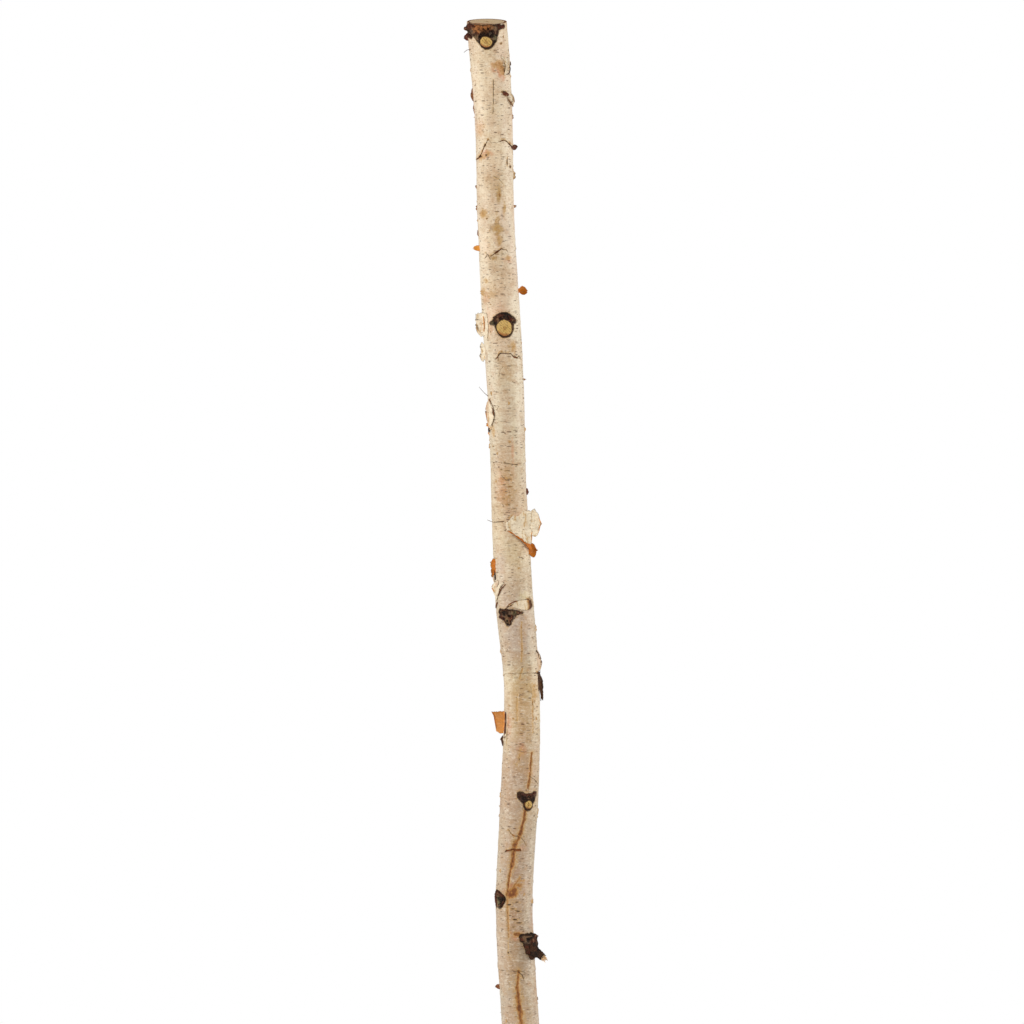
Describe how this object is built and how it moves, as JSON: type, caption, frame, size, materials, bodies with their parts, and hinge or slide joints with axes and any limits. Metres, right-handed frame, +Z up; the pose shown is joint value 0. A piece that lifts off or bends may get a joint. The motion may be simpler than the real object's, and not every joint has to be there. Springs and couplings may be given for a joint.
{
  "type": "birch pole",
  "caption": "Long natural birch pole with its papery bark on: slightly bent stem, sawn ends, trimmed branch knots, one broken twig stub and loose curled bark peels.",
  "frame": {"origin": "middle of the foot's square sawn face, on the pith", "axes": "+Z up along the pole, -Y the front, +X to the right seen from the front"},
  "size_m": [0.1107, 0.0671, 1.5034],
  "materials": {
    "wood": "matt sawn end grain",
    "pith": "matt, soft",
    "inner_bark": "matt, fibrous",
    "outer_bark": "papery, low sheen",
    "branch_wood": "matt sawn end grain",
    "knot_bark": "rough, matt",
    "peel": "papery, low sheen"
  },
  "bodies": {
    "root": {"stem_wood": "wood", "pith": "pith", "inner_bark": "inner_bark", "outer_bark_01": "outer_bark", "outer_bark_02": "outer_bark", "outer_bark_03": "outer_bark", "outer_bark_04": "outer_bark", "outer_bark_05": "outer_bark", "outer_bark_06": "outer_bark", "outer_bark_07": "outer_bark", "outer_bark_08": "outer_bark", "outer_bark_09": "outer_bark", "outer_bark_10": "outer_bark", "outer_bark_11": "outer_bark", "outer_bark_12": "outer_bark", "knot_top_wood": "branch_wood", "knot_top_bark": "knot_bark", "knot_upper_wood": "branch_wood", "knot_upper_bark": "knot_bark", "knot_middle_wood": "branch_wood", "knot_middle_bark": "knot_bark", "knot_lower_wood": "branch_wood", "knot_lower_bark": "knot_bark", "knot_side_wood": "branch_wood", "knot_side_bark": "knot_bark", "knot_back_high_wood": "branch_wood", "knot_back_high_bark": "knot_bark", "knot_back_low_wood": "branch_wood", "knot_back_low_bark": "knot_bark", "knot_foot_wood": "branch_wood", "knot_foot_bark": "knot_bark", "knot_twig_wood": "branch_wood", "knot_twig_bark": "knot_bark", "peel_top_flake": "peel", "peel_top_right": "peel", "peel_rolled_right": "peel", "peel_top_left": "peel", "peel_lip_right": "peel", "peel_chip_left": "peel", "peel_orange_disc": "peel", "peel_flake_left": "peel", "peel_sliver_left": "peel", "peel_flap_left": "peel", "peel_sliver_right": "peel", "peel_big_sheet": "peel", "peel_big_tongue": "peel", "peel_curl_left": "peel", "peel_flap_low_left": "peel", "peel_band_middle": "peel", "peel_edge_right": "peel", "peel_dark_right": "peel", "peel_orange_tab": "peel", "peel_stalk_left": "peel", "peel_chip_foot": "peel", "peel_back_high": "peel", "peel_back_middle": "peel", "peel_back_low": "peel", "peel_foot_front": "peel"}
  },
  "joints": []
}
